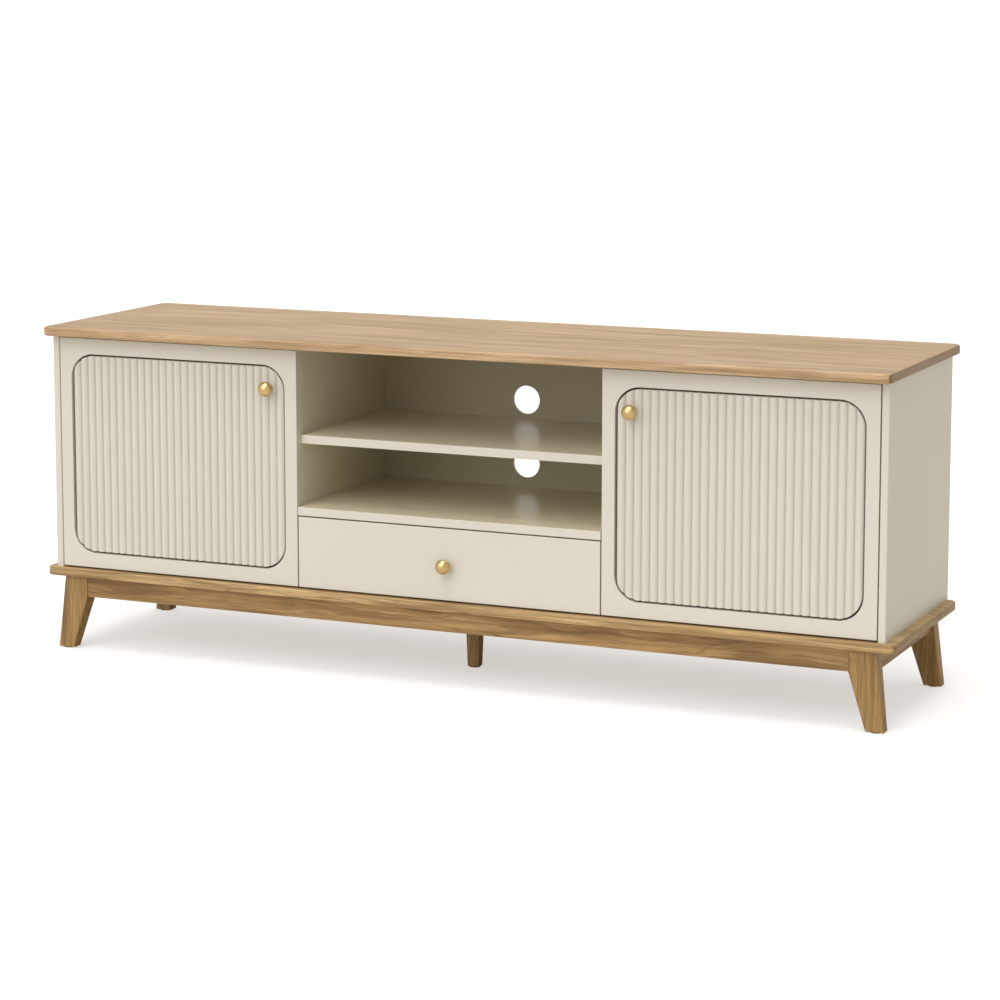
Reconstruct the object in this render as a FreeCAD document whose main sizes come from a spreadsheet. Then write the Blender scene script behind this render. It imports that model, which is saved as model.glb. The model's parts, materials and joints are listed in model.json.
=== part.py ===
import FreeCAD, Part
import math
import os
import re

import Sketcher

# Low media cabinet: two hinged doors with reeded panels, an open centre bay with one
# shelf, a drawer under it, and a splayed oak base.  Millimetres.
# Frame: +Z up, the doors face -Y, +X is to the right of someone facing the doors, and
# the origin is the bottom centre of the whole cabinet's box.

SIZES = {
    # base board and top board
    "base_width": 1610,
    "base_depth": 387,
    "base_thickness": 16,
    "base_front_lap": 9,
    "base_corner": 15,
    "base_ease": 3,
    "top_width": 1590,
    "top_depth": 439,
    "top_thickness": 16,
    "top_front_lap": 28,
    "top_corner": 17,
    "top_ease_upper": 3.5,
    "top_ease_lower": 2,
    # carcass
    "carcass_width": 1574,
    "carcass_depth": 380,
    "carcass_height": 429,
    "board": 15,
    "board_ease": 0.8,
    "side_board": 13.5,
    "side_ease": 2.5,
    "cubby_width": 578,
    "cubby_floor_top": 298.5,
    "back_inset": 352,
    "back_thickness": 5,
    "cubby_shelf_top": 425,
    "cubby_shelf_setback": 15,
    "bay_shelf_top": 372,
    "bay_shelf_setback": 45,
    "shelf_play": 0.5,
    "cable_hole_radius": 26,
    "cable_hole_upper": 460,
    "cable_hole_lower": 342,
    # doors
    "door_gap": 1.6,
    "door_foot_gap": 3.2,
    "door_top_gap": 4.5,
    "door_thickness": 18,
    "seat_gap": 2.8,
    "opening_width": 437,
    "opening_height": 366,
    "opening_rise": 27,
    "opening_corner": 45,
    "shadow_gap": 3.5,
    "backing_thickness": 4,
    "backing_lap": 8,
    "reed_count": 29,
    "reed_height": 4.6,
    "knob_inset_x": 343,
    "knob_rise": 507,
    # knobs
    "knob_reach": 25,
    "knob_radius": 13,
    "knob_half_depth": 9.5,
    "knob_neck_radius": 5,
    "knob_foot_radius": 7.5,
    "knob_foot_depth": 2,
    "screw_radius": 2,
    "screw_head_radius": 4,
    "screw_head_depth": 2.4,
    "screw_bite": 12,
    "fit_play": 0.05,
    # door pivots
    "pivot_in": 8,
    "pivot_back": 5,
    "pin_radius": 1.75,
    "pin_depth": 10,
    "pin_collar_radius": 4,
    "bush_radius": 3.2,
    "bush_depth": 12,
    # drawer
    "drawer_gap": 2.4,
    "drawer_side_gap": 14,
    "drawer_board": 12,
    "drawer_box_rise": 173,
    "drawer_box_height": 90,
    "drawer_box_length": 320,
    "drawer_bottom_rise": 3,
    "drawer_bottom_thickness": 5,
    "drawer_knob_rise": 217,
    # slides: cabinet, middle and drawer members, one inside the other
    "slide_rise": 218,
    "slide_steel": 1.2,
    "slide_length": 310,
    "slide_clear": 4,
    "rail_half_height": 22.5,
    "rail_lip": 8.5,
    "middle_web": 2.2,
    "middle_half_height": 20,
    "middle_lip": 10,
    "runner_half_height": 17,
    "runner_lip": 9,
    # plinth
    "leg_height": 136,
    "glide_height": 2,
    "glide_radius": 10,
    "leg_top_outer": 770,
    "leg_top_inner": 724,
    "leg_foot_outer": 786.5,
    "leg_foot_inner": 754.5,
    "leg_top_depth": 32,
    "leg_foot_depth": 24,
    "leg_ease": 2.5,
    "leg_span": 374,
    "apron_height": 37,
    "apron_thickness": 18,
    "apron_setback": 2.5,
    "corner_block_reach": 40,
    "centre_leg_x": -21,
    "centre_leg_y": 169,
    "centre_leg_top": 15.5,
    "centre_leg_foot": 10.5,
    "centre_rail_height": 20,
    # shelf pins and catches
    "shelf_pin_radius": 2.5,
    "shelf_pin_bite": 6,
    "shelf_pin_reach": 8,
    "shelf_pin_near": 85,
    "shelf_pin_far": 300,
    "catch_width": 12,
    "catch_base": 1,
    "catch_height": 40,
    "catch_depth": 14,
    "strike_thickness": 1.2,
}

# Shared places, as expressions of the sizes above.
FRONT = "(top_front_lap - top_depth / 2)"
SEAT = f"({FRONT} + door_thickness + seat_gap)"
BACK_FACE = f"({FRONT} + back_inset)"
BASE_TOP = "(leg_height + base_thickness)"
TOP_UNDER = f"({BASE_TOP} + carcass_height)"
HALF = "(carcass_width / 2)"
SIDE_FACE = f"({HALF} - side_board)"
CUBBY = "(cubby_width / 2)"
DIVIDER_FACE = f"({CUBBY} + board)"
DOOR_OUTER = f"({SIDE_FACE} - door_gap)"
DOOR_WIDTH = f"({DOOR_OUTER} - {CUBBY})"
DOOR_CENTRE = f"(({DOOR_OUTER} + {CUBBY}) / 2)"
DOOR_FOOT = f"({BASE_TOP} + door_foot_gap)"
DOOR_HEIGHT = "(carcass_height - door_foot_gap - door_top_gap)"
PIVOT_X = f"({DOOR_OUTER} - pivot_in)"
PIVOT_Y = f"({FRONT} + pivot_back)"
INSERT_WIDTH = "(opening_width - 2 * shadow_gap)"
INSERT_HEIGHT = "(opening_height - 2 * shadow_gap)"
INSERT_DEPTH = "(door_thickness - backing_thickness)"
REED_PITCH = f"({INSERT_WIDTH} / reed_count)"
DRAWER_WALL = f"({CUBBY} - drawer_side_gap)"
DRAWER_BACK = f"({FRONT} + door_thickness + drawer_box_length)"
APRON_FOOT = "(leg_height - apron_height)"
LEG_BACK = f"({FRONT} + leg_span)"
CUBBY_PIN_RISE = "(cubby_shelf_top - board - shelf_pin_radius)"
BAY_PIN_RISE = "(bay_shelf_top - board - shelf_pin_radius)"
CATCH_RISE = f"({TOP_UNDER} - 2 * catch_height)"
CATCH_FACE = f"({DIVIDER_FACE} + catch_base)"

doc = FreeCAD.newDocument("media_cabinet")
sheet = doc.addObject("Spreadsheet::Sheet", "Sizes")
for row, (alias, size) in enumerate(SIZES.items(), start=1):
    sheet.set(f"A{row}", alias)
    sheet.set(f"B{row}", str(size))
    sheet.setAlias(f"B{row}", alias)
doc.recompute()
gauge = doc.addObject("App::FeaturePython", "Gauge")
gauge.addProperty("App::PropertyFloat", "Reading")

nodes = []


def linked(text):
    """The expression with each size name pointed at its cell."""
    def cell(word):
        return f"Sizes.{word.group()}" if word.group() in SIZES else word.group()
    return re.sub(r"[a-z_]+", cell, text)


def bind(obj, **fields):
    for field, text in fields.items():
        obj.setExpression(field, linked(text))


def place(obj, x, y, z):
    for axis, text in zip("xyz", (x, y, z)):
        obj.setExpression(f"Placement.Base.{axis}", linked(text))


def node(obj, label):
    """Mark an object as one finished piece of the cabinet."""
    obj.Label = label
    nodes.append(obj)
    return obj


def beside(side, near, far):
    """Lowest x of something between near and far from the middle, on one side."""
    return near if side > 0 else f"(-{far})"


def new_body(name, x, y, z):
    body = doc.addObject("PartDesign::Body", name)
    place(body, x, y, z)
    return body


def new_sketch(body, role, name, lift=None):
    sketch = body.newObject("Sketcher::SketchObject", name)
    plane = [item for item in body.Origin.OriginFeatures if item.Role == role][0]
    sketch.AttachmentSupport = [(plane, "")]
    sketch.MapMode = "FlatFace"
    if lift:
        sketch.setExpression("AttachmentOffset.Base.z", linked(lift))
    return sketch


def outline(sketch, points):
    """A closed outline of straight lines whose corners follow the given expressions."""
    corner = [FreeCAD.Vector(number(u), number(v), 0) for u, v in points]
    count = len(corner)
    for i in range(count):
        sketch.addGeometry(Part.LineSegment(corner[i], corner[(i + 1) % count]), False)
    for i, (u, v) in enumerate(points):
        sketch.addConstraint(Sketcher.Constraint("Coincident", i, 2, (i + 1) % count, 1))
        for kind, value, text in (("DistanceX", corner[i].x, u), ("DistanceY", corner[i].y, v)):
            index = sketch.addConstraint(Sketcher.Constraint(kind, -1, 1, i, 1, value))
            sketch.setExpression(f"Constraints[{index}]", linked(text))
    return sketch


def number(text):
    """The present value of an expression, from the sheet."""
    gauge.setExpression("Reading", linked(text))
    gauge.recompute()
    return gauge.Reading


def rectangle(sketch, u0, v0, u1, v1):
    return outline(sketch, [(u0, v0), (u1, v0), (u1, v1), (u0, v1)])


def pad(body, sketch, length, reverse=False, midplane=False):
    feature = body.newObject("PartDesign::Pad", sketch.Name + "_pad")
    feature.Profile = sketch
    feature.Reversed = reverse
    feature.Midplane = midplane
    bind(feature, Length=length)
    sketch.Visibility = False
    doc.recompute()
    return feature


def pocket(body, sketch, length, reverse=False):
    before = body.Shape.Volume
    feature = body.newObject("PartDesign::Pocket", sketch.Name + "_pocket")
    feature.Profile = sketch
    feature.Reversed = reverse
    bind(feature, Length=length)
    doc.recompute()
    if body.Shape.Volume > before - 1:
        raise RuntimeError(f"{feature.Name} cuts nothing")
    return feature


def ease(body, test, radius):
    """Round every edge of the body's tip that passes the test."""
    tip = body.Tip
    names = [f"Edge{i}" for i, edge in enumerate(tip.Shape.Edges, start=1) if test(edge)]
    if not names:
        raise RuntimeError(f"{body.Name} has no such edge")
    feature = body.newObject("PartDesign::Fillet", body.Name + "_ease")
    feature.Base = (tip, names)
    bind(feature, Radius=radius)
    doc.recompute()
    return feature


def straight(edge, axis):
    """Whether an edge runs along one axis."""
    box = edge.BoundBox
    spans = {"x": box.XLength, "y": box.YLength, "z": box.ZLength}
    return all(span < 1e-4 for name, span in spans.items() if name != axis) and spans[axis] > 1e-4


def level(edge, height):
    """Whether an edge lies flat at one height of its own body."""
    return edge.BoundBox.ZLength < 1e-4 and abs(edge.BoundBox.ZMin - height) < 1e-4


def at_front(edge, depth=0):
    """Whether an edge lies in one upright plane of its own body."""
    return edge.BoundBox.YLength < 1e-4 and abs(edge.BoundBox.YMin - depth) < 1e-4


def slab(name, size, corner):
    """A flat board as a padded rectangle, with its lowest corner at the body's origin."""
    width, depth, height = size
    body = new_body(name, *corner)
    plan = rectangle(new_sketch(body, "XY_Plane", name + "_plan"), "0", "0", width, depth)
    pad(body, plan, height)
    return body


def box(name, size, corner):
    solid = doc.addObject("Part::Box", name)
    bind(solid, Length=size[0], Width=size[1], Height=size[2])
    place(solid, *corner)
    return solid


def rod(name, radius, length, centre, axis="z"):
    """A cylinder that starts at centre and runs along +axis."""
    solid = doc.addObject("Part::Cylinder", name)
    bind(solid, Radius=radius, Height=length)
    turns = {"x": (0, 90, 0), "y": (0, 0, -90), "z": (0, 0, 0)}
    yaw, pitch, roll = turns[axis]
    solid.Placement.Rotation = FreeCAD.Rotation(yaw, pitch, roll)
    place(solid, *centre)
    return solid


def group(label, pieces):
    """Identical loose pieces kept together as one node."""
    holder = doc.addObject("Part::Compound", label)
    holder.Links = pieces
    return node(holder, label)


def fused(name, pieces):
    whole = doc.addObject("Part::MultiFuse", name)
    whole.Shapes = pieces
    return whole


def cut(name, base, tools):
    """The base with every tool taken out of it."""
    whole = doc.addObject("Part::Cut", name)
    whole.Base = base
    if len(tools) == 1:
        whole.Tool = tools[0]
    else:
        holder = doc.addObject("Part::Compound", name + "_tools")
        holder.Links = tools
        whole.Tool = holder
    return whole


# ---------------------------------------------------------------- top and base boards

def pivot_hole(name, side, foot, depth):
    return rod(name, "pin_radius + fit_play", depth, (f"{side} * {PIVOT_X}", PIVOT_Y, foot))


def make_top_board():
    board = slab("top_blank", ("top_width", "top_depth", "top_thickness"),
                 ("-top_width / 2", f"{FRONT} - top_front_lap", TOP_UNDER))
    ease(board, lambda edge: straight(edge, "z"), "top_corner")
    ease(board, lambda edge: level(edge, SIZES["top_thickness"]), "top_ease_upper")
    ease(board, lambda edge: level(edge, 0), "top_ease_lower")
    holes = [pivot_hole(f"top_pivot_hole_{i}", side, TOP_UNDER, "pin_depth")
             for i, side in enumerate((-1, 1))]
    node(cut("top_board", board, holes), "top_board")


def make_base_board():
    board = slab("base_blank", ("base_width", "base_depth", "base_thickness"),
                 ("-base_width / 2", f"{FRONT} - base_front_lap", "leg_height"))
    ease(board, lambda edge: straight(edge, "z"), "base_corner")
    ease(board, lambda edge: level(edge, 0) or level(edge, SIZES["base_thickness"]), "base_ease")
    holes = [pivot_hole(f"base_pivot_hole_{i}", side, f"{BASE_TOP} - pin_depth", "pin_depth")
             for i, side in enumerate((-1, 1))]
    node(cut("base_board", board, holes), "base_board")


# ---------------------------------------------------------------- carcass

def pin_holes(name, x, rise):
    """Holes for two shelf pins in one upright face, running along +x."""
    radius = "shelf_pin_radius + fit_play"
    return [rod(f"{name}_{i}", radius, "shelf_pin_bite", (x, f"{FRONT} + {reach}", rise), "x")
            for i, reach in enumerate(("shelf_pin_near", "shelf_pin_far"))]


def make_side_panel(side, name):
    panel = slab(name + "_blank", ("side_board", "carcass_depth", "carcass_height"),
                 (beside(side, SIDE_FACE, HALF), FRONT, BASE_TOP))
    ease(panel, lambda edge: straight(edge, "z") and at_front(edge), "side_ease")
    holes = pin_holes(name + "_hole", beside(side, SIDE_FACE, f"({SIDE_FACE} + shelf_pin_bite)"), BAY_PIN_RISE)
    node(cut(name, panel, holes), name)


def make_divider(side, name):
    size = ("board", "carcass_depth - door_thickness - seat_gap", "carcass_height - board")
    panel = slab(name + "_blank", size,
                 (beside(side, CUBBY, DIVIDER_FACE), SEAT, f"{BASE_TOP} + board"))
    ease(panel, lambda edge: straight(edge, "z") and at_front(edge), "board_ease")
    inner = pin_holes(name + "_cubby_hole", beside(side, CUBBY, f"({CUBBY} + shelf_pin_bite)"), CUBBY_PIN_RISE)
    outer = pin_holes(name + "_bay_hole", beside(side, f"({DIVIDER_FACE} - shelf_pin_bite)", DIVIDER_FACE),
                      BAY_PIN_RISE)
    node(cut(name, panel, inner + outer), name)


def make_floors():
    floor = slab("bottom_panel", (f"2 * {SIDE_FACE}", "carcass_depth - door_thickness - seat_gap", "board"),
                 (f"-{SIDE_FACE}", SEAT, BASE_TOP))
    node(floor, "bottom_panel")
    shelf = new_body("cubby_floor", "0", FRONT, "cubby_floor_top - board")
    plan = new_sketch(shelf, "XY_Plane", "cubby_floor_plan")
    seat = "(door_thickness + seat_gap)"
    tongue = f"({CUBBY} - door_gap)"
    outline(plan, [(f"-{tongue}", "0"), (tongue, "0"), (tongue, seat), (CUBBY, seat), (CUBBY, "back_inset"),
                   (f"-{CUBBY}", "back_inset"), (f"-{CUBBY}", seat), (f"-{tongue}", seat)])
    pad(shelf, plan, "board")
    ease(shelf, lambda edge: straight(edge, "x") and at_front(edge), "board_ease")
    node(shelf, "cubby_floor")


def make_shelves():
    size = ("cubby_width - 2 * shelf_play", "back_inset - cubby_shelf_setback - shelf_play", "board")
    shelf = slab("cubby_shelf", size,
                 (f"-{CUBBY} + shelf_play", f"{FRONT} + cubby_shelf_setback", "cubby_shelf_top - board"))
    ease(shelf, lambda edge: straight(edge, "x") and at_front(edge), "board_ease")
    node(shelf, "cubby_shelf")
    for side, name in ((-1, "bay_shelf_left"), (1, "bay_shelf_right")):
        x = beside(side, DIVIDER_FACE, SIDE_FACE)
        shelf = slab(name, (f"{SIDE_FACE} - {DIVIDER_FACE} - 2 * shelf_play",
                            "back_inset - bay_shelf_setback - shelf_play", "board"),
                     (f"{x} + shelf_play", f"{FRONT} + bay_shelf_setback", "bay_shelf_top - board"))
        ease(shelf, lambda edge: straight(edge, "x") and at_front(edge), "board_ease")
        node(shelf, name)


def make_shelf_pins():
    pins = []
    length = "shelf_pin_bite + shelf_pin_reach"
    faces = ((CUBBY, -1, CUBBY_PIN_RISE), (DIVIDER_FACE, 1, BAY_PIN_RISE), (SIDE_FACE, -1, BAY_PIN_RISE))
    for side in (-1, 1):
        for face, way, rise in faces:
            # a pin stands out of its face away from the middle (way 1) or towards it (way -1)
            low = f"({face} - shelf_pin_bite)" if way > 0 else f"({face} - shelf_pin_reach)"
            high = f"({low} + {length})"
            for reach in ("shelf_pin_near", "shelf_pin_far"):
                pins.append(rod(f"shelf_pin_{len(pins)}", "shelf_pin_radius", length,
                                (beside(side, low, high), f"{FRONT} + {reach}", rise), "x"))
    group("shelf_pins", pins)


def make_back_panels():
    height = "carcass_height - board"
    rise = f"{BASE_TOP} + board"
    for side, name in ((-1, "back_panel_left"), (1, "back_panel_right")):
        node(box(name, (f"{SIDE_FACE} - {DIVIDER_FACE}", "back_thickness", height),
                 (beside(side, DIVIDER_FACE, SIDE_FACE), BACK_FACE, rise)), name)
    blank = box("back_centre_blank", ("cubby_width", "back_thickness", height), (f"-{CUBBY}", BACK_FACE, rise))
    holes = [rod(f"cable_hole_{i}", "cable_hole_radius", "back_thickness", ("0", BACK_FACE, level_text), "y")
             for i, level_text in enumerate(("cable_hole_upper", "cable_hole_lower"))]
    node(cut("back_panel_centre", blank, holes), "back_panel_centre")


# ---------------------------------------------------------------- plinth

def tapered_leg(label, front_points, side_points, y):
    """A leg where a front outline and a side outline, padded across each other, meet."""
    front = new_body(label + "_front", "0", y, "0")
    sketch = outline(new_sketch(front, "XZ_Plane", label + "_front_outline"), front_points)
    pad(front, sketch, "leg_top_depth * 3", midplane=True)
    side = new_body(label + "_side", "0", y, "0")
    sketch = outline(new_sketch(side, "YZ_Plane", label + "_side_outline"), side_points)
    pad(side, sketch, "base_width", midplane=True)
    leg = doc.addObject("Part::Common", label + "_square")
    leg.Base = front
    leg.Tool = side
    doc.recompute()
    long_edges = [i for i, edge in enumerate(leg.Shape.Edges, start=1) if edge.BoundBox.ZLength > 20]
    rounded = doc.addObject("Part::Fillet", label)
    rounded.Base = leg
    rounded.Edges = [(i, SIZES["leg_ease"], SIZES["leg_ease"]) for i in long_edges]
    return node(rounded, label)


def make_corner_leg(side, end, label):
    """A splayed leg: side is -1 or 1 in x, end is -1 at the front and 1 at the back."""
    inner_to_outer = ("leg_top_inner", "leg_top_outer", "leg_foot_outer", "leg_foot_inner")
    top_inner, top_outer, foot_outer, foot_inner = [f"({side} * {x})" for x in inner_to_outer]
    front_points = [(top_inner, "leg_height"), (top_outer, "leg_height"), (foot_outer, "glide_height"),
                    (foot_inner, "glide_height"), (top_inner, APRON_FOOT)]
    top_depth = f"({-end} * leg_top_depth)"
    side_points = [("0", "glide_height"), ("0", "leg_height"), (top_depth, "leg_height"),
                   (top_depth, APRON_FOOT), (f"({-end} * leg_foot_depth)", "glide_height")]
    tapered_leg(label, front_points, side_points, FRONT if end < 0 else LEG_BACK)


def make_centre_leg():
    top = "(leg_height - centre_rail_height)"
    front_points = [("centre_leg_x - centre_leg_foot", "glide_height"), ("centre_leg_x - centre_leg_top", top),
                    ("centre_leg_x + centre_leg_top", top), ("centre_leg_x + centre_leg_foot", "glide_height")]
    side_points = [("-centre_leg_foot", "glide_height"), ("-centre_leg_foot", top),
                   ("centre_leg_foot", top), ("centre_leg_foot", "glide_height")]
    tapered_leg("leg_centre", front_points, side_points, f"{FRONT} + centre_leg_y")
    length = f"{LEG_BACK} - {FRONT} - 2 * (apron_setback + apron_thickness)"
    corner = ("centre_leg_x - centre_leg_top", f"{FRONT} + apron_setback + apron_thickness", top)
    node(box("centre_rail", ("2 * centre_leg_top", length, "centre_rail_height"), corner), "centre_rail")


def make_aprons():
    for y, name in ((f"{FRONT} + apron_setback", "apron_front"),
                    (f"{LEG_BACK} - apron_setback - apron_thickness", "apron_back")):
        node(box(name, ("2 * leg_top_inner", "apron_thickness", "apron_height"),
                 ("-leg_top_inner", y, APRON_FOOT)), name)
    for side, name in ((-1, "apron_left"), (1, "apron_right")):
        outer = "(leg_top_outer - apron_setback)"
        x = beside(side, f"({outer} - apron_thickness)", outer)
        node(box(name, ("apron_thickness", f"{LEG_BACK} - {FRONT} - 2 * leg_top_depth", "apron_height"),
                 (x, f"{FRONT} + leg_top_depth", APRON_FOOT)), name)


def make_corner_blocks():
    """Glue blocks that tie each leg to its two aprons."""
    blocks = []
    apron_face = "(apron_setback + apron_thickness)"
    side_face = "(leg_top_outer - apron_setback - apron_thickness)"
    for side in (-1, 1):
        for end in (-1, 1):
            plan_points = [("leg_top_inner", apron_face), ("leg_top_inner - corner_block_reach", apron_face),
                           (side_face, "leg_top_depth + corner_block_reach"), (side_face, "leg_top_depth"),
                           ("leg_top_inner", "leg_top_depth")]
            name = f"corner_block_{len(blocks)}"
            block = new_body(name, "0", FRONT if end < 0 else LEG_BACK, APRON_FOOT)
            sketch = outline(new_sketch(block, "XY_Plane", name + "_plan"),
                             [(f"{side} * ({x})", f"{-end} * ({y})") for x, y in plan_points])
            pad(block, sketch, "apron_height")
            blocks.append(block)
    group("corner_blocks", blocks)


def make_glides():
    foot_x = "((leg_foot_outer + leg_foot_inner) / 2)"
    foot_y = "(leg_foot_depth / 2)"
    places = [(f"{side} * {foot_x}", y)
              for side in (-1, 1) for y in (f"{FRONT} + {foot_y}", f"{LEG_BACK} - {foot_y}")]
    places.append(("centre_leg_x", f"{FRONT} + centre_leg_y"))
    group("foot_glides", [rod(f"foot_glide_{i}", "glide_radius", "glide_height", (x, y, "0"))
                          for i, (x, y) in enumerate(places)])


# ---------------------------------------------------------------- knobs

def make_knob(label, x, z):
    """A round brass knob on a short neck, with a tapped hole for its screw."""
    foot = rod(label + "_foot", "knob_foot_radius", "knob_foot_depth",
               (x, f"{FRONT} - knob_foot_depth", z), "y")
    neck = rod(label + "_neck", "knob_neck_radius", "knob_reach - knob_half_depth",
               (x, f"{FRONT} - knob_reach + knob_half_depth", z), "y")
    head = doc.addObject("Part::Ellipsoid", label + "_head")
    bind(head, Radius1="knob_half_depth", Radius2="knob_radius", Radius3="knob_radius")
    head.Placement.Rotation = FreeCAD.Rotation(FreeCAD.Vector(1, 0, 0), 90)
    place(head, x, f"{FRONT} - knob_reach + knob_half_depth", z)
    tapped = screw_hole(label + "_bore", x, z, f"{FRONT} - screw_bite", "screw_bite")
    node(cut(label, fused(label + "_solid", [foot, neck, head]), [tapped]), label)


def make_knob_screw(label, x, z, grip):
    """The screw that holds a knob from behind, through a front of thickness grip."""
    shank = rod(label + "_shank", "screw_radius", f"{grip} + screw_bite", (x, f"{FRONT} - screw_bite", z), "y")
    head = rod(label + "_head", "screw_head_radius", "screw_head_depth", (x, f"{FRONT} + {grip}", z), "y")
    node(fused(label, [shank, head]), label)


def screw_hole(name, x, z, y, length):
    return rod(name, "screw_radius + fit_play", length, (x, y, z), "y")


# ---------------------------------------------------------------- doors

def make_door_frame(side, name):
    """A flat frame with a round-cornered opening, a rebate behind it and two bush sockets."""
    frame = new_body(name + "_blank", f"{side} * {DOOR_CENTRE}", FRONT, DOOR_FOOT)
    face = rectangle(new_sketch(frame, "XZ_Plane", name + "_face"),
                     f"-{DOOR_WIDTH} / 2", "0", f"{DOOR_WIDTH} / 2", DOOR_HEIGHT)
    pad(frame, face, "door_thickness", reverse=True)
    ease(frame, at_front, "board_ease")
    window = rectangle(new_sketch(frame, "XZ_Plane", name + "_window"), "-opening_width / 2", "opening_rise",
                       "opening_width / 2", "opening_rise + opening_height")
    pocket(frame, window, "door_thickness")
    half = SIZES["opening_width"] / 2
    ease(frame, lambda edge: straight(edge, "y") and math.isclose(abs(edge.BoundBox.XMin), half, abs_tol=0.01),
         "opening_corner")
    rebate = rectangle(new_sketch(frame, "XZ_Plane", name + "_rebate", "-door_thickness"),
                       "-opening_width / 2 - backing_lap", "opening_rise - backing_lap",
                       "opening_width / 2 + backing_lap", "opening_rise + opening_height + backing_lap")
    pocket(frame, rebate, "backing_thickness", reverse=True)
    sockets = [rod(f"{name}_socket_{i}", "bush_radius", "bush_depth", (f"{side} * {PIVOT_X}", PIVOT_Y, z))
               for i, z in enumerate((DOOR_FOOT, f"{DOOR_FOOT} + {DOOR_HEIGHT} - bush_depth"))]
    node(cut(name, frame, sockets), name)


def make_reeded_panel(side, name):
    """Upright half-round reeds on a thin board, trimmed to a round-cornered outline."""
    low = f"{DOOR_FOOT} + opening_rise + shadow_gap"
    reeds = new_body(name + "_reeds", f"{side} * {DOOR_CENTRE} - {INSERT_WIDTH} / 2", FRONT, low)
    board = rectangle(new_sketch(reeds, "XY_Plane", name + "_board"),
                      "0", "reed_height", INSERT_WIDTH, INSERT_DEPTH)
    pad(reeds, board, INSERT_HEIGHT)
    pitch = number(REED_PITCH)
    rise = SIZES["reed_height"]
    profile = new_sketch(reeds, "XY_Plane", name + "_reed")
    start = FreeCAD.Vector(0, rise, 0)
    crest = FreeCAD.Vector(pitch / 2, 0, 0)
    end = FreeCAD.Vector(pitch, rise, 0)
    profile.addGeometry(Part.Arc(start, crest, end), False)
    profile.addGeometry(Part.LineSegment(start, end), False)
    first, second = arc_ends(profile, start)
    profile.addConstraint(Sketcher.Constraint("Coincident", 0, first, 1, 1))
    profile.addConstraint(Sketcher.Constraint("Coincident", 0, second, 1, 2))
    profile.addConstraint(Sketcher.Constraint("Horizontal", 1))
    for kind, text in (("DistanceX", "0"), ("DistanceY", "reed_height")):
        index = profile.addConstraint(Sketcher.Constraint(kind, -1, 1, 1, 1, number(text)))
        profile.setExpression(f"Constraints[{index}]", linked(text))
    index = profile.addConstraint(Sketcher.Constraint("DistanceX", 1, 1, 1, 2, pitch))
    profile.setExpression(f"Constraints[{index}]", linked(REED_PITCH))
    radius = f"(({REED_PITCH} / 2) ^ 2 + reed_height ^ 2) / (2 * reed_height)"
    index = profile.addConstraint(Sketcher.Constraint("Radius", 0, number(radius)))
    profile.setExpression(f"Constraints[{index}]", linked(radius))
    reed = pad(reeds, profile, INSERT_HEIGHT)
    row = reeds.newObject("PartDesign::LinearPattern", name + "_row")
    row.Originals = [reed]
    row.Direction = (profile, ["H_Axis"])
    bind(row, Length=f"{INSERT_WIDTH} - {REED_PITCH}", Occurrences="reed_count")
    reeds.Tip = row
    doc.recompute()
    plate = new_body(name + "_plate", f"{side} * {DOOR_CENTRE}", FRONT, low)
    face = rectangle(new_sketch(plate, "XZ_Plane", name + "_plate_face"),
                     f"-{INSERT_WIDTH} / 2", "0", f"{INSERT_WIDTH} / 2", INSERT_HEIGHT)
    pad(plate, face, INSERT_DEPTH, reverse=True)
    ease(plate, lambda edge: straight(edge, "y"), "opening_corner - shadow_gap")
    trimmed = doc.addObject("Part::Common", name + "_trimmed")
    trimmed.Base = reeds
    trimmed.Tool = plate
    hole = screw_hole(name + "_screw_hole", f"{side} * knob_inset_x", "knob_rise", FRONT, INSERT_DEPTH)
    node(cut(name, trimmed, [hole]), name)


def arc_ends(sketch, start):
    """Which end of a sketch's first arc, 1 or 2, is at start, and which is the other."""
    arc = sketch.Geometry[0]
    return (1, 2) if arc.StartPoint.distanceToPoint(start) < 1e-6 else (2, 1)


def make_door(side, hand):
    name = f"door_{hand}"
    knob_x = f"{side} * knob_inset_x"
    make_door_frame(side, f"{name}_frame")
    make_reeded_panel(side, f"{name}_reeded_panel")
    back_y = f"{FRONT} + {INSERT_DEPTH}"
    size = ("opening_width + 2 * backing_lap", "backing_thickness", "opening_height + 2 * backing_lap")
    blank = box(name + "_backing_blank", size,
                (f"{side} * {DOOR_CENTRE} - opening_width / 2 - backing_lap", back_y,
                 f"{DOOR_FOOT} + opening_rise - backing_lap"))
    hole = screw_hole(name + "_backing_hole", knob_x, "knob_rise", back_y, "backing_thickness")
    node(cut(f"{name}_backing", blank, [hole]), f"{name}_backing")
    make_knob(f"{name}_knob", knob_x, "knob_rise")
    make_knob_screw(f"{name}_knob_screw", knob_x, "knob_rise", "door_thickness")
    make_hinge(side, name)
    strike_x = beside(side, CATCH_FACE, f"({CATCH_FACE} + catch_width)")
    node(box(f"{name}_strike_plate", ("catch_width", "strike_thickness", "catch_height"),
             (strike_x, f"{FRONT} + door_thickness", CATCH_RISE)), f"{name}_strike_plate")


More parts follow.
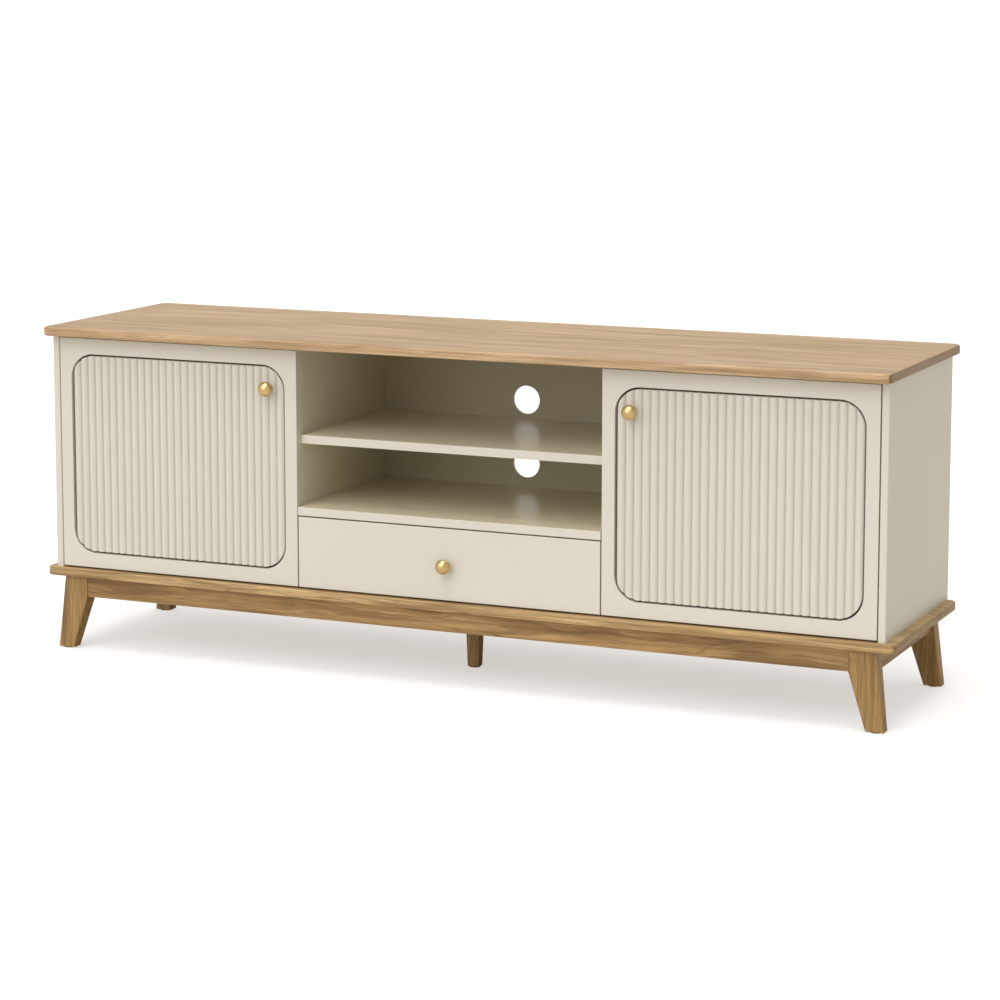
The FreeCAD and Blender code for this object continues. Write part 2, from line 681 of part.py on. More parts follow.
def make_hinge(side, name):
    """Bushes in the door's ends, on the two pins held by the base board and the top board."""
    x = f"{side} * {PIVOT_X}"
    y = PIVOT_Y
    door_head = f"({DOOR_FOOT} + {DOOR_HEIGHT})"
    bushes = []
    for i, z in enumerate((DOOR_FOOT, f"{door_head} - bush_depth")):
        outer = rod(f"{name}_bush_{i}_outer", "bush_radius", "bush_depth", (x, y, z))
        inner = rod(f"{name}_bush_{i}_inner", "pin_radius + fit_play", "bush_depth", (x, y, z))
        bushes.append(cut(f"{name}_bush_{i}", outer, [inner]))
    group(f"{name}_hinge_bushes", bushes)
    lower_pin = rod(f"{name}_lower_pin", "pin_radius", "2 * pin_depth + door_foot_gap",
                    (x, y, f"{BASE_TOP} - pin_depth"))
    lower_collar = rod(f"{name}_lower_collar", "pin_collar_radius", "door_foot_gap - fit_play",
                       (x, y, BASE_TOP))
    upper_pin = rod(f"{name}_upper_pin", "pin_radius", "2 * pin_depth + door_top_gap",
                    (x, y, f"{door_head} - pin_depth"))
    upper_collar = rod(f"{name}_upper_collar", "pin_collar_radius", "door_top_gap - fit_play",
                       (x, y, f"{door_head} + fit_play"))
    pins = [fused(f"{name}_lower_pivot", [lower_pin, lower_collar]),
            fused(f"{name}_upper_pivot", [upper_pin, upper_collar])]
    group(f"{name}_hinge_pins", pins)


def make_catches():
    catches = []
    for side in (-1, 1):
        x = beside(side, DIVIDER_FACE, f"({CATCH_FACE} + catch_width)")
        size = ("catch_base + catch_width", "catch_depth", "catch_height")
        catches.append(box(f"catch_{len(catches)}", size, (x, SEAT, CATCH_RISE)))
    group("door_catches", catches)


# ---------------------------------------------------------------- drawer

def make_drawer():
    half = f"({CUBBY} - drawer_gap)"
    top = "(cubby_floor_top - board - drawer_gap)"
    front = new_body("drawer_front_blank", "0", FRONT, DOOR_FOOT)
    face = rectangle(new_sketch(front, "XZ_Plane", "drawer_front_face"),
                     f"-{half}", "0", half, f"{top} - {DOOR_FOOT}")
    pad(front, face, "door_thickness", reverse=True)
    ease(front, at_front, "board_ease")
    hole = screw_hole("drawer_front_hole", "0", "drawer_knob_rise", FRONT, "door_thickness")
    node(cut("drawer_front", front, [hole]), "drawer_front")

    start = f"({FRONT} + door_thickness)"
    wall = "drawer_board"
    inner = f"({DRAWER_WALL} - {wall})"
    rise = "drawer_box_rise"
    height = "drawer_box_height"
    for side, name in ((-1, "drawer_side_left"), (1, "drawer_side_right")):
        x = beside(side, inner, DRAWER_WALL)
        node(box(name, (wall, "drawer_box_length", height), (x, start, rise)), name)
    blank = box("drawer_subfront_blank", (f"2 * {inner}", wall, height), (f"-{inner}", start, rise))
    hole = screw_hole("drawer_subfront_hole", "0", "drawer_knob_rise", start, wall)
    node(cut("drawer_subfront", blank, [hole]), "drawer_subfront")
    node(box("drawer_back", (f"2 * {inner}", wall, height), (f"-{inner}", f"{DRAWER_BACK} - {wall}", rise)),
         "drawer_back")
    node(box("drawer_bottom", (f"2 * {inner}", f"drawer_box_length - 2 * {wall}", "drawer_bottom_thickness"),
             (f"-{inner}", f"{start} + {wall}", f"{rise} + drawer_bottom_rise")), "drawer_bottom")
    make_knob("drawer_knob", "0", "drawer_knob_rise")
    make_knob_screw("drawer_knob_screw", "0", "drawer_knob_rise", "(door_thickness + drawer_board)")


def channel(side, label, web, lip, half_height):
    """A C-section rail: web and lip are distances from the middle of the cabinet."""
    skin = "slide_steel" if number(web) < number(lip) else "-slide_steel"
    inner = f"{web} + {skin}"
    flange = f"({half_height} - slide_steel)"
    points = [(web, f"-{half_height}"), (lip, f"-{half_height}"), (lip, f"-{flange}"), (inner, f"-{flange}"),
              (inner, flange), (lip, flange), (lip, half_height), (web, half_height)]
    rail = new_body(label, "0", f"{SEAT} + slide_clear", "slide_rise")
    sketch = outline(new_sketch(rail, "XZ_Plane", label + "_section"),
                     [(f"{side} * ({x})", z) for x, z in points])
    pad(rail, sketch, "slide_length", reverse=True)
    node(rail, label)


def make_slides():
    """Three rails on each side: one on the divider, one between, one on the drawer."""
    for side, hand in ((-1, "left"), (1, "right")):
        channel(side, f"slide_rail_{hand}", CUBBY, f"({CUBBY} - rail_lip)", "rail_half_height")
        channel(side, f"slide_middle_{hand}", f"({CUBBY} - middle_web)", f"({CUBBY} - middle_lip)",
                "middle_half_height")
        channel(side, f"drawer_runner_{hand}", DRAWER_WALL, f"({DRAWER_WALL} + runner_lip)",
                "runner_half_height")


# ---------------------------------------------------------------- assembly

make_top_board()
make_base_board()
for side, hand in ((-1, "left"), (1, "right")):
    make_side_panel(side, f"side_panel_{hand}")
    make_divider(side, f"divider_{hand}")
    make_corner_leg(side, -1, f"leg_front_{hand}")
    make_corner_leg(side, 1, f"leg_back_{hand}")
    make_door(side, hand)
make_floors()
make_shelves()
make_shelf_pins()
make_back_panels()
make_centre_leg()
make_aprons()
make_corner_blocks()
make_glides()
make_catches()
make_drawer()
make_slides()
doc.recompute()

failed = [obj.Name for obj in doc.Objects if "Invalid" in obj.State or "Error" in obj.State]
failed += [obj.Label for obj in nodes if obj.Shape.isNull() or not obj.Shape.isValid() or not obj.Shape.Solids]
if failed:
    raise RuntimeError("not built: " + ", ".join(failed))

os.makedirs("parts", exist_ok=True)
for obj in nodes:
    obj.Shape.exportStep(f"parts/{obj.Label}.step")
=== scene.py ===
import json
import math

import bpy
from mathutils import Matrix, Vector

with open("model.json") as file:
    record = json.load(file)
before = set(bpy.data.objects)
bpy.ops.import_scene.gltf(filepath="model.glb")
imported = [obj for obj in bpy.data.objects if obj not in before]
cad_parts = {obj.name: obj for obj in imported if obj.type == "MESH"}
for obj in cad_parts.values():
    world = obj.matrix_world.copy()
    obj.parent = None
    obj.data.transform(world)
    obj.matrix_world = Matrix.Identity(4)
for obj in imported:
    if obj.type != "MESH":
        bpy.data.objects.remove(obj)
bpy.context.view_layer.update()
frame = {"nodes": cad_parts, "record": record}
nodes = frame["nodes"]
scene = bpy.context.scene


# ---------------------------------------------------------------- node helpers

class Tree:
    """A few short calls for building one material's nodes."""

    def __init__(self, name):
        self.material = bpy.data.materials.new(name)
        self.material.use_nodes = True
        self.tree = self.material.node_tree
        self.shader = self.tree.nodes["Principled BSDF"]

    def add(self, kind, settings=None, **inputs):
        node = self.tree.nodes.new(kind)
        for key, value in (settings or {}).items():
            setattr(node, key, value)
        for key, value in inputs.items():
            self.feed(node, key, value)
        return node

    def feed(self, node, key, value):
        """Set an input by name or number, from a plain value or another node's output."""
        socket = node.inputs[int(key)] if key.isdigit() else node.inputs[key]
        if isinstance(value, bpy.types.NodeSocket):
            self.tree.links.new(value, socket)
        else:
            socket.default_value = value

    def math(self, operation, first, second=0.0):
        node = self.tree.nodes.new("ShaderNodeMath")
        node.operation = operation
        self.feed(node, "0", first)
        self.feed(node, "1", second)
        return node.outputs[0]

    def mix(self, amount, first, second):
        node = self.tree.nodes.new("ShaderNodeMix")
        node.data_type = "RGBA"
        self.feed(node, "Factor", amount)
        self.feed(node, "6", first)
        self.feed(node, "7", second)
        return node.outputs[2]

    def blend_vectors(self, amount, first, second):
        node = self.tree.nodes.new("ShaderNodeMix")
        node.data_type = "VECTOR"
        self.feed(node, "Factor", amount)
        self.feed(node, "4", first)
        self.feed(node, "5", second)
        return node.outputs[1]

    def ramp(self, value, stops):
        """Run from one colour to another, each given with its position."""
        node = self.tree.nodes.new("ShaderNodeValToRGB")
        self.feed(node, "Fac", value)
        for element, (position, colour) in zip(node.color_ramp.elements, stops):
            element.position = position
            element.color = colour if len(colour) == 4 else (*colour, 1.0)
        return node.outputs[0]

    def grey(self, value, low, high, start=0.0, end=1.0):
        """Map a value from low..high to start..end, clamped."""
        node = self.tree.nodes.new("ShaderNodeMapRange")
        limits = {"From Min": low, "From Max": high, "To Min": start, "To Max": end}
        for key, number in {"Value": value, **limits}.items():
            self.feed(node, key, number)
        return node.outputs[0]

    def noise(self, vector, scale, detail=3.0, roughness=0.5, distortion=0.0):
        node = self.add("ShaderNodeTexNoise", Vector=vector, Scale=scale, Detail=detail,
                        Roughness=roughness, Distortion=distortion)
        return node.outputs["Fac"]

    def place(self, vector, scale=(1, 1, 1), turn=(0, 0, 0), shift=(0, 0, 0)):
        node = self.add("ShaderNodeMapping", Vector=vector, Scale=scale, Rotation=turn, Location=shift)
        return node.outputs[0]

    def grain(self, space, repeats, fine=1.0, shift=(0, 0, 0), **settings):
        """A noise stretched along the first axis, by its repeats per metre along it and across it."""
        along, across = repeats
        stretched = self.place(space, scale=(along, across * fine, across * fine), shift=shift)
        return self.noise(stretched, 1.0, **settings)

    def bump(self, height, strength, distance):
        return self.add("ShaderNodeBump", Height=height, Strength=strength, Distance=distance).outputs[0]


# ---------------------------------------------------------------- finishes

BLACK = (0.0, 0.0, 0.0, 1.0)

# Nearly all of a noise's values lie in this span.
NOISE_SPAN = (0.3, 0.7)

# The layers of oak figure: repeats per metre along the grain, then across it.
BEND_GRAIN = (5.0, 9.0)
BROAD_GRAIN = (0.9, 9.0)
STREAK_GRAIN = (2.4, 95.0)
FIBRE_GRAIN = (7.0, 330.0)
FLAME_GRAIN = (3.0, 36.0)
DRIFT_GRAIN = (1.6, 7.0)
WANDER_GRAIN = (11.0, 30.0)
PATCH_GRAIN = (3.0, 22.0)
PORE_GRAIN = (38.0, 900.0)
BROAD_SHIFT = (3.1, 0.4, 0.2)
PATCH_SHIFT = (0.7, 1.3, 2.9)

# Growth rings, and how far in ring spacings they drift and wander from a straight line.
RINGS_PER_METRE = 60.0
RING_SLANT = 0.8
RING_DRIFT = 9.0
RING_WANDER = 1.1
RING_LINE = (0.01, 0.11)

# The part of each figure layer's noise that shows, from nothing to all of it.
PATCHES_SHOW = (0.42, 0.62)
PORES_SHOW = (0.30, 0.42)
BROAD_SHOWS = (0.28, 0.72)
FLAMES_SHOW = (0.47, 0.62)
STREAKS_SHOW = (0.42, 0.62)
FIBRES_SHOW = (0.44, 0.62)
FIBRE_DARKNESS = 0.8
PORE_DARKNESS = 0.35

FIBRE_RELIEF = 0.5
PORE_RELIEF = 0.9
OAK_BUMP = (0.25, 0.0003)
OAK_SPECULAR = 0.32
LACQUER_ROUGHNESS = 0.28
END_FACING = 0.75

# Sprayed paint.
PAINT_DRIFT_SCALE = 3.0
PAINT_DRIFT_DARKNESS = 0.045
SPECK_SCALE = 900.0
SPECK_SHOWS = (0.35, 0.75)
SPECK_DARKNESS = 0.015
PEEL_SCALE = 420.0
PEEL_SMOOTHER = 0.25
PEEL_ROUGHER = 0.4
PEEL_DISTANCE = 0.0002
# Faces turned further than this toward a given direction take a painted light and shade colour.
SHADING_FACING = 0.5

# Metal and plastic.
TARNISH_SCALE = 55.0
TARNISH = 0.8
METAL_BUMP = (0.15, 0.0001)
MOULD_SCALE = 1500.0
MOULD_SHADE = 0.85
MOULD_BUMP = (0.2, 0.0001)


def grain_space(tree, turn, shift, banded):
    """Coordinates whose first axis runs along the grain, and how much a face is an end strip:
    on a banded board the strip on each end face has its grain turned to run along the edge."""
    coordinate = tree.add("ShaderNodeTexCoord")
    along = tree.place(coordinate.outputs["Object"], turn=turn, shift=shift)
    if not banded:
        return along, 0.0
    across = tree.place(coordinate.outputs["Object"], turn=(0, 0, math.pi / 2), shift=shift)
    facing = tree.add("ShaderNodeSeparateXYZ", Vector=coordinate.outputs["Normal"])
    end = tree.math("GREATER_THAN", tree.math("ABSOLUTE", facing.outputs[0]), END_FACING)
    return tree.blend_vectors(end, along, across), end


def growth_lines(tree, space):
    """Growth rings seen edge on: thin lines that drift slowly across the board and come and go."""
    drift = tree.grain(space, DRIFT_GRAIN, detail=2.0)
    wander = tree.grain(space, WANDER_GRAIN, detail=3.0, roughness=0.55)
    split = tree.add("ShaderNodeSeparateXYZ", Vector=space)
    across = tree.math("ADD", split.outputs[1], tree.math("MULTIPLY", split.outputs[2], RING_SLANT))
    rings = tree.math("MULTIPLY", across, RINGS_PER_METRE)
    rings = tree.math("ADD", rings, tree.math("MULTIPLY", drift, RING_DRIFT))
    rings = tree.math("FRACT", tree.math("ADD", rings, tree.math("MULTIPLY", wander, RING_WANDER)))
    lines = tree.grey(tree.math("ABSOLUTE", tree.math("SUBTRACT", rings, 0.5)), *RING_LINE, 1.0, 0.0)
    patches = tree.grain(space, PATCH_GRAIN, shift=PATCH_SHIFT, detail=2.0)
    return tree.math("MULTIPLY", lines, tree.grey(patches, *PATCHES_SHOW))


def bend_grain(tree, space, sway):
    """Let the fibres wander sideways along the board."""
    bend = tree.grain(space, BEND_GRAIN, detail=2.0)
    bend = tree.math("MULTIPLY", tree.math("SUBTRACT", bend, 0.5), 2.0 * sway)
    offset = tree.add("ShaderNodeCombineXYZ", Y=bend, Z=bend)
    bent = tree.add("ShaderNodeVectorMath", {"operation": "ADD"})
    tree.feed(bent, "0", space)
    tree.feed(bent, "1", offset.outputs[0])
    return bent.outputs[0]


def make_oak(name, tones, turn=(0, 0, 0), shift=(0, 0, 0), end_band_shade=0.0, streak=0.45, flame=0.3,
             line=0.5, fine=1.0, sway=0.006, roughness=0.42, lacquer=0.0):
    """Oak: broad tone changes, streaks, flame figure, thin dark growth lines, fibres and open pores."""
    light, mid, dark = ((*colour, 1.0) for colour in tones)
    tree = Tree(name)
    space, end = grain_space(tree, turn, shift, end_band_shade > 0)
    space = bend_grain(tree, space, sway)
    broad = tree.grain(space, BROAD_GRAIN, shift=BROAD_SHIFT, detail=3.0)
    streaks = tree.grain(space, STREAK_GRAIN, fine, detail=4.0, roughness=0.62)
    fibres = tree.grain(space, FIBRE_GRAIN, fine, detail=3.0, roughness=0.6)
    flames = tree.grain(space, FLAME_GRAIN, fine, detail=3.0, roughness=0.55, distortion=0.6)
    lines = growth_lines(tree, space)
    pores = tree.grain(space, PORE_GRAIN, detail=2.0, roughness=0.6)
    pores = tree.grey(pores, *PORES_SHOW, 1.0, 0.0)
    tone = tree.ramp(tree.grey(broad, *BROAD_SHOWS), [(0.0, mid), (1.0, light)])
    tone = tree.mix(tree.grey(flames, *FLAMES_SHOW, 0.0, flame), tone, dark)
    tone = tree.mix(tree.grey(streaks, *STREAKS_SHOW, 0.0, streak), tone, dark)
    tone = tree.mix(tree.grey(fibres, *FIBRES_SHOW, 0.0, FIBRE_DARKNESS * streak), tone, dark)
    tone = tree.mix(tree.math("MULTIPLY", lines, line), tone, dark)
    tone = tree.mix(tree.math("MULTIPLY", pores, PORE_DARKNESS), tone, dark)
    # End faces are pulled toward the dark tone: partly a darker edge band and partly painted shade, so
    # the ends read darker than the lit top face.
    tone = tree.mix(tree.math("MULTIPLY", end, end_band_shade), tone, dark)
    tree.feed(tree.shader, "Base Color", tone)
    gloss = tree.grey(fibres, *NOISE_SPAN, roughness - 0.05, roughness + 0.08)
    tree.feed(tree.shader, "Roughness", gloss)
    tree.shader.inputs["Specular IOR Level"].default_value = OAK_SPECULAR
    tree.shader.inputs["Coat Weight"].default_value = lacquer
    tree.shader.inputs["Coat Roughness"].default_value = LACQUER_ROUGHNESS
    raised = tree.math("MULTIPLY", fibres, FIBRE_RELIEF)
    height = tree.math("SUBTRACT", raised, tree.math("MULTIPLY", pores, PORE_RELIEF))
    tree.feed(tree.shader, "Normal", tree.bump(height, *OAK_BUMP))
    return tree.material


def make_paint(name, colour, roughness=0.36, fineness=1.0, peel_depth=0.12, painted_shading=None):
    """Sprayed satin paint: nearly even, with a faint orange peel and slow tone drift.  The optional last
    argument paints light and shade into the colour: a colour for faces turned in one direction, that
    direction, and whether the faces turned the opposite way have it too."""
    tree = Tree(name)
    place = tree.add("ShaderNodeTexCoord")
    coordinate = place.outputs["Object"]
    drift = tree.noise(coordinate, PAINT_DRIFT_SCALE, detail=3.0)
    speck = tree.noise(coordinate, SPECK_SCALE, detail=2.0)
    peel = tree.noise(coordinate, PEEL_SCALE * fineness, detail=2.0, roughness=0.45)
    tone = (*colour, 1.0)
    if painted_shading:
        shading_colour, direction, both_ways = painted_shading
        facing = tree.add("ShaderNodeVectorMath", {"operation": "DOT_PRODUCT"})
        tree.feed(facing, "0", place.outputs["Normal"])
        tree.feed(facing, "1", direction)
        turned = facing.outputs["Value"]
        if both_ways:
            turned = tree.math("ABSOLUTE", turned)
        # Faces turned the given way take the painted light and shade colour in place of the paint.
        tone = tree.mix(tree.math("GREATER_THAN", turned, SHADING_FACING), tone, (*shading_colour, 1.0))
    tone = tree.mix(tree.grey(drift, *NOISE_SPAN, PAINT_DRIFT_DARKNESS, 0.0), tone, BLACK)
    tone = tree.mix(tree.grey(speck, *SPECK_SHOWS, 0.0, SPECK_DARKNESS), tone, BLACK)
    tree.feed(tree.shader, "Base Color", tone)
    smoothest = roughness - PEEL_SMOOTHER * peel_depth
    roughest = roughness + PEEL_ROUGHER * peel_depth
    tree.feed(tree.shader, "Roughness", tree.grey(peel, *NOISE_SPAN, smoothest, roughest))
    tree.feed(tree.shader, "Normal", tree.bump(peel, peel_depth, PEEL_DISTANCE))
    return tree.material


def make_metal(name, colour, roughness, brushed=(300.0, 300.0, 300.0)):
    """Satin metal with fine brushing and a little tarnish in its tone."""
    tree = Tree(name)
    coordinate = tree.add("ShaderNodeTexCoord").outputs["Object"]
    lines = tree.noise(tree.place(coordinate, scale=brushed), 1.0, detail=3.0)
    cloud = tree.noise(coordinate, TARNISH_SCALE, detail=3.0)
    darker = tuple(TARNISH * channel for channel in colour)
    tone = tree.ramp(tree.grey(cloud, *NOISE_SPAN), [(0.0, darker), (1.0, colour)])
    tree.feed(tree.shader, "Base Color", tone)
    tree.shader.inputs["Metallic"].default_value = 1.0
    gloss = tree.grey(lines, *NOISE_SPAN, roughness - 0.05, roughness + 0.07)
    tree.feed(tree.shader, "Roughness", gloss)
    tree.feed(tree.shader, "Normal", tree.bump(lines, *METAL_BUMP))
    return tree.material


def make_plastic(name, colour, roughness=0.5):
    """Moulded plastic with a fine spark-eroded texture."""
    tree = Tree(name)
    coordinate = tree.add("ShaderNodeTexCoord").outputs["Object"]
    texture = tree.noise(coordinate, MOULD_SCALE, detail=2.0)
    darker = tuple(MOULD_SHADE * channel for channel in colour)
    low, high = NOISE_SPAN
    tree.feed(tree.shader, "Base Color", tree.ramp(texture, [(low, darker), (high, colour)]))
    tree.feed(tree.shader, "Roughness", tree.grey(texture, low, high, roughness, roughness + 0.1))
    tree.feed(tree.shader, "Normal", tree.bump(texture, *MOULD_BUMP))
    return tree.material


# ---------------------------------------------------------------- materials on the CAD pieces

# Oak tones: light, middle and dark.
OAK_TOP = ((0.63, 0.440, 0.262), (0.55, 0.372, 0.208), (0.20, 0.112, 0.038))
OAK_BASE = ((0.69, 0.478, 0.240), (0.60, 0.396, 0.182), (0.15, 0.083, 0.024))
# The aprons and legs stand under the cabinet: their darker tones are partly a darker oak and partly
# painted shade.
OAK_APRON_WITH_PAINTED_SHADE = ((0.48, 0.292, 0.118), (0.40, 0.232, 0.086), (0.12, 0.061, 0.018))
OAK_LEG_WITH_PAINTED_SHADE = ((0.46, 0.288, 0.112), (0.39, 0.232, 0.084), (0.11, 0.054, 0.014))
PALE_TIMBER = ((0.60, 0.45, 0.28), (0.52, 0.37, 0.22), (0.22, 0.115, 0.042))

CREAM = (0.635, 0.600, 0.520)
DRAWER_CREAM = (0.64, 0.60, 0.515)
# The four tones below are painted light and shade inside the bays: a lighter warm tone on the level
# boards, a warm bounce tone on the open bay's floor, a darker one on the walls and a much darker one on
# the backs.
SHELF_PAINTED_LIGHT = (0.76, 0.70, 0.51)
CUBBY_FLOOR_PAINTED_BOUNCE = (0.68, 0.61, 0.44)
BAY_WALL_PAINTED_SHADE = (0.61, 0.575, 0.435)
BAY_BACK_PAINTED_SHADE = (0.43, 0.385, 0.25)
# A near black brown on the front of each door backing, where it shows in the gap round the reeded panel:
# painted shadow for the gap.
GAP_PAINTED_SHADOW = (0.045, 0.028, 0.016)

BRASS = (0.74, 0.54, 0.25)
ZINC = (0.60, 0.60, 0.60)
SLIDE_STEEL = (0.63, 0.64, 0.66)
BLACKED_STEEL = (0.10, 0.095, 0.09)
GREY_PLASTIC = (0.09, 0.085, 0.08)
ROLLED = (900.0, 20.0, 900.0)

# Turns that lay the grain upright or along the depth, where it would run along the length.
UPRIGHT = (0, math.pi / 2, 0)
CROSSWISE = (0, 0, math.pi / 2)

# Ways that a face can be turned.
RIGHTWARD = (1, 0, 0)
LEFTWARD = (-1, 0, 0)
FRONTWARD = (0, -1, 0)
UPWARD = (0, 0, 1)

# The smoother and the duller paint's roughness, and the smoother one's orange peel.
SMOOTH = 0.24
MATT = 0.42
FAINT_PEEL = 0.01


def dress(material, *names):
    """Give the named CAD pieces one material."""
    for name in names:
        slots = nodes[name].data.materials
        slots.clear()
        slots.append(material)


def dress_oak():
    """Each piece of oak has its own stretch of figure, picked by a shift along and across the grain."""
    top = make_oak("oak_top", OAK_TOP, end_band_shade=0.85, streak=0.50, flame=0.34, line=0.30, fine=1.2,
                   sway=0.003, lacquer=0.2)
    dress(top, "top_board")
    base = make_oak("oak_base", OAK_BASE, shift=(2.0, 0.7, 0.3), end_band_shade=0.56, streak=0.55, flame=0.45,
                    line=0.6, fine=1.3)
    dress(base, "base_board")
    for i, name in enumerate(("apron_front", "apron_back")):
        oak = make_oak(name + "_oak", OAK_APRON_WITH_PAINTED_SHADE, shift=(5.0 + i, 1.0, 0.6), flame=0.60, line=0.6,
                       fine=1.2, sway=0.014)
        dress(oak, name)
    for i, name in enumerate(("apron_left", "apron_right")):
        oak = make_oak(name + "_oak", OAK_APRON_WITH_PAINTED_SHADE, turn=CROSSWISE, shift=(1.0 + i, 3.0, 0.6), flame=0.6,
                       sway=0.012)
        dress(oak, name)
    legs = ("leg_front_left", "leg_front_right", "leg_back_left", "leg_back_right", "leg_centre")
    for i, name in enumerate(legs):
        oak = make_oak(name + "_oak", OAK_LEG_WITH_PAINTED_SHADE, turn=UPRIGHT, shift=(0.4 * i, 0.37 * i, 0.2),
                       streak=0.48, flame=0.40, line=0.7, fine=2.0, sway=0.008)
        dress(oak, name)


def dress_by_slot():
    """Give the other pieces the finish of their material slot."""
    by_slot = {
        "cream_paint": make_paint("cream_paint", CREAM),
        "painted_thin_board": make_paint("painted_thin_board", CREAM, roughness=MATT),
        "drawer_board": make_paint("drawer_board", DRAWER_CREAM, roughness=0.5, fineness=0.6),
        "bare_timber": make_oak("bare_timber", PALE_TIMBER, roughness=0.6),
        "brass": make_metal("satin_brass", BRASS, 0.30),
        "hardware_steel": make_metal("zinc_plate", ZINC, 0.35),
        "slide_steel": make_metal("slide_steel", SLIDE_STEEL, 0.30, brushed=ROLLED),
        "grey_plastic": make_plastic("grey_plastic", GREY_PLASTIC),
    }
    for part in frame["record"]["subparts"]:
        if part["material_slot"] in by_slot:
            dress(by_slot[part["material_slot"]], part["node"])


def dress_inside():
    """Faces that line the bays get painted light and shade in warmer tones: lighter on the shelves and
    bay floors, darker on the walls and much darker on the backs.  The front of each door backing gets a
    painted shadow for the gap round its reeded panel, and the pivot pins are black.
    """
    shelf_shading = (SHELF_PAINTED_LIGHT, UPWARD, True)
    shelf = make_paint("shelf_paint", CREAM, roughness=SMOOTH, peel_depth=FAINT_PEEL, painted_shading=shelf_shading)
    dress(shelf, "cubby_shelf")
    floor = make_paint("cubby_floor_paint", CREAM, roughness=SMOOTH, peel_depth=FAINT_PEEL,
                       painted_shading=(CUBBY_FLOOR_PAINTED_BOUNCE, UPWARD, True))
    dress(floor, "cubby_floor")
    bay = make_paint("bay_paint", CREAM, painted_shading=shelf_shading)
    dress(bay, "bay_shelf_left", "bay_shelf_right", "bottom_panel")
    divider = make_paint("divider_paint", CREAM, painted_shading=(BAY_WALL_PAINTED_SHADE, RIGHTWARD, True))
    dress(divider, "divider_left", "divider_right")
    left = make_paint("left_side_paint", CREAM, painted_shading=(BAY_WALL_PAINTED_SHADE, RIGHTWARD, False))
    dress(left, "side_panel_left")
    right = make_paint("right_side_paint", CREAM, painted_shading=(BAY_WALL_PAINTED_SHADE, LEFTWARD, False))
    dress(right, "side_panel_right")
    back = make_paint("back_panel_paint", CREAM, roughness=MATT, painted_shading=(BAY_BACK_PAINTED_SHADE, FRONTWARD, False))
    dress(back, "back_panel_left", "back_panel_centre", "back_panel_right")
    backing = make_paint("door_backing", CREAM, roughness=MATT, painted_shading=(GAP_PAINTED_SHADOW, FRONTWARD, False))
    dress(backing, "door_left_backing", "door_right_backing")
    pins = make_metal("blacked_steel", BLACKED_STEEL, 0.45)
    dress(pins, "door_left_hinge_pins", "door_right_hinge_pins")


# ---------------------------------------------------------------- camera, floor and light

# The camera stands to the right of the cabinet and above it, and looks down a little.  The lens
# shift lowers the view the rest of the way, so that the uprights stay nearly parallel.
CAMERA_PLACE = Vector((2.1055, -4.7400, 1.2286))
CAMERA_HEADING = 0.41491
CAMERA_TILT = -0.13641
CAMERA_ROLL = 0.00058
CAMERA_LENS = 106.23
CAMERA_SHIFT = -0.12
SENSOR = 36.0

# The floor lights the cabinet with one colour and is seen in another.
FLOOR_REACH = 60.0
FLOOR_MOTTLE_SCALE = 2.0
FLOOR_MOTTLE = 0.99
FLOOR_BOUNCE = (0.64, 0.615, 0.56)
FLOOR_SEEN = (0.48, 0.50, 0.52)
FLOOR_LIFT = 0.56
FLOOR_LIFT_COLOUR = (1.0, 0.955, 0.915, 1.0)

# Light comes from all round, and from three wide suns: in front, above the front, and overhead.
SKY = 0.66
SKY_COLOUR = (1.0, 0.97, 0.91, 1.0)
SKY_LEAN = Vector((-0.09, -0.12, 0.0))
SKY_SEEN = (1.0, 1.0, 1.0, 1.0)
KEY_TOWARDS = Vector((-0.28, -0.87, 0.40))
KEY_STRENGTH = 0.80
KEY_COLOUR = (0.95, 1.0, 1.10)
KEY_WIDTH = math.radians(50)
FILL_TOWARDS = Vector((-0.05, -0.72, 0.78))
FILL_STRENGTH = 0.55
FILL_WIDTH = math.radians(35)
OVERHEAD_TOWARDS = Vector((0.0, -0.15, 1.0))
OVERHEAD_STRENGTH = 1.45
OVERHEAD_WIDTH = math.radians(35)


def make_camera():
    data = bpy.data.cameras.new("camera")
    data.lens = CAMERA_LENS
    data.sensor_width = SENSOR
    data.shift_y = CAMERA_SHIFT
    camera = bpy.data.objects.new("camera", data)
    scene.collection.objects.link(camera)
    turn = (Matrix.Rotation(CAMERA_HEADING, 4, "Z") @ Matrix.Rotation(math.pi / 2 + CAMERA_TILT, 4, "X")
            @ Matrix.Rotation(CAMERA_ROLL, 4, "Z"))
    camera.matrix_world = Matrix.Translation(CAMERA_PLACE) @ turn
    scene.camera = camera


def seen_and_lighting(tree, seen, lighting, output):
    """Join two shaders so that one is what the eye meets and the other is what lights things."""
    path = tree.nodes.new("ShaderNodeLightPath")
    mix = tree.nodes.new("ShaderNodeMixShader")
    tree.links.new(path.outputs["Is Camera Ray"], mix.inputs[0])
    tree.links.new(lighting, mix.inputs[1])
    tree.links.new(seen, mix.inputs[2])
    tree.links.new(mix.outputs[0], output.inputs[0])


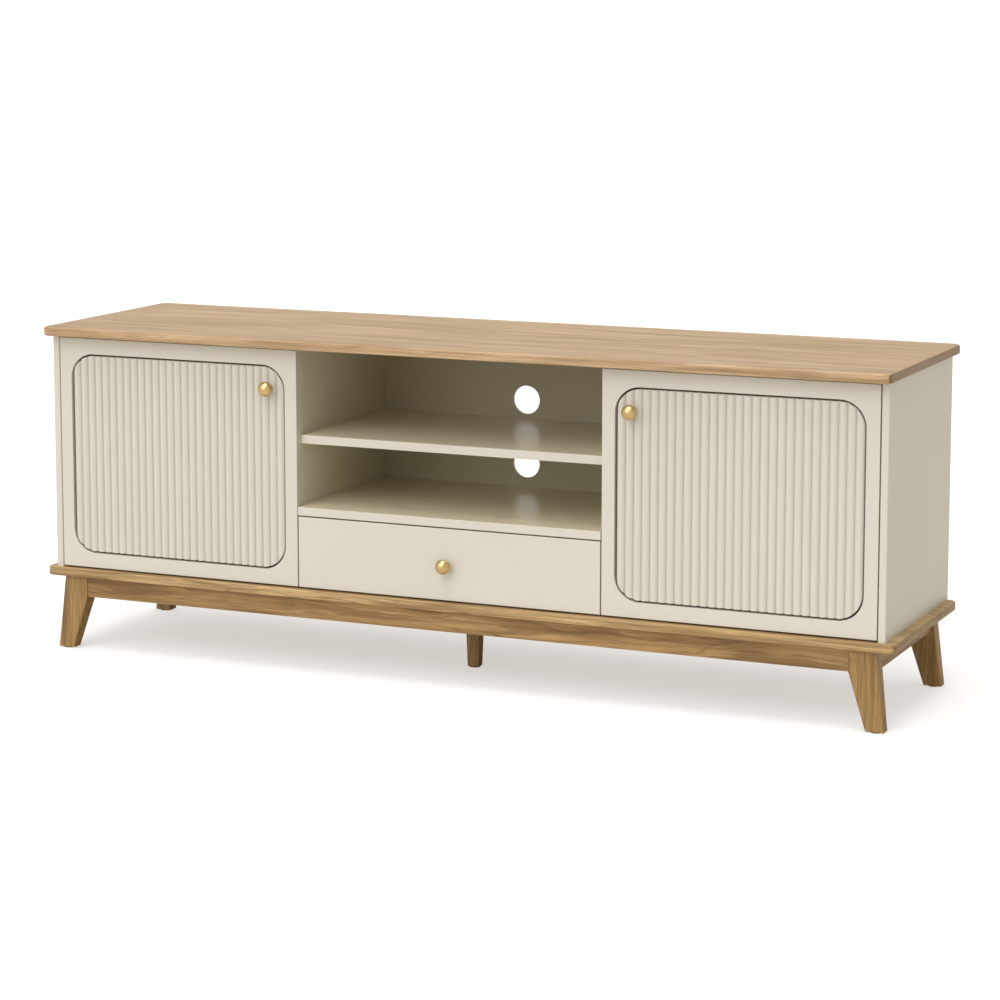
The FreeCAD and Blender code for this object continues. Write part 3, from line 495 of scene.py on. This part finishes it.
def make_floor():
    """A white studio sweep: it looks white where no shadow falls, and bounces less than it shows."""
    edge = FLOOR_REACH
    mesh = bpy.data.meshes.new("floor")
    corners = [(-edge, -edge, 0), (edge, -edge, 0), (edge, edge, 0), (-edge, edge, 0)]
    mesh.from_pydata(corners, [], [(0, 1, 2, 3)])
    floor = bpy.data.objects.new("floor", mesh)
    scene.collection.objects.link(floor)
    tree = Tree("floor_paper")
    coordinate = tree.add("ShaderNodeTexCoord").outputs["Object"]
    mottle = tree.noise(coordinate, FLOOR_MOTTLE_SCALE)
    worn = tuple(FLOOR_MOTTLE * channel for channel in FLOOR_SEEN)
    tree.feed(tree.shader, "Base Color", tree.ramp(mottle, [(0.0, worn), (1.0, FLOOR_SEEN)]))
    tree.shader.inputs["Roughness"].default_value = 1.0
    tree.shader.inputs["Specular IOR Level"].default_value = 0.0
    tree.shader.inputs["Emission Color"].default_value = FLOOR_LIFT_COLOUR
    tree.shader.inputs["Emission Strength"].default_value = FLOOR_LIFT
    bounce = tree.add("ShaderNodeBsdfDiffuse", Color=(*FLOOR_BOUNCE, 1.0))
    output = tree.tree.nodes["Material Output"]
    seen_and_lighting(tree.tree, tree.shader.outputs[0], bounce.outputs[0], output)
    mesh.materials.append(tree.material)


def make_sun(name, towards, strength, width, colour=(1, 1, 1)):
    data = bpy.data.lights.new(name, "SUN")
    data.energy = strength
    data.angle = width
    data.color = colour
    lamp = bpy.data.objects.new(name, data)
    scene.collection.objects.link(lamp)
    lamp.matrix_world = (-towards).to_track_quat("-Z", "Y").to_matrix().to_4x4()


def make_sky():
    """Even studio light, a little brighter on the front left of the room, and a white backdrop."""
    world = bpy.data.worlds.new("studio")
    scene.world = world
    world.use_nodes = True
    tree = world.node_tree
    direction = tree.nodes.new("ShaderNodeTexCoord").outputs["Generated"]
    lean = tree.nodes.new("ShaderNodeVectorMath")
    lean.operation = "DOT_PRODUCT"
    tree.links.new(direction, lean.inputs[0])
    lean.inputs[1].default_value = SKY_LEAN
    total = tree.nodes.new("ShaderNodeMath")
    total.operation = "ADD"
    total.inputs[1].default_value = SKY
    tree.links.new(lean.outputs["Value"], total.inputs[0])
    lighting = tree.nodes["Background"]
    lighting.inputs["Color"].default_value = SKY_COLOUR
    tree.links.new(total.outputs[0], lighting.inputs["Strength"])
    seen = tree.nodes.new("ShaderNodeBackground")
    seen.inputs["Color"].default_value = SKY_SEEN
    seen_and_lighting(tree, seen.outputs[0], lighting.outputs[0], tree.nodes["World Output"])


scene.view_settings.view_transform = "Standard"
make_camera()
make_floor()
make_sky()
make_sun("key", KEY_TOWARDS, KEY_STRENGTH, KEY_WIDTH, KEY_COLOUR)
make_sun("fill", FILL_TOWARDS, FILL_STRENGTH, FILL_WIDTH)
make_sun("overhead", OVERHEAD_TOWARDS, OVERHEAD_STRENGTH, OVERHEAD_WIDTH)
dress_oak()
dress_by_slot()
dress_inside()
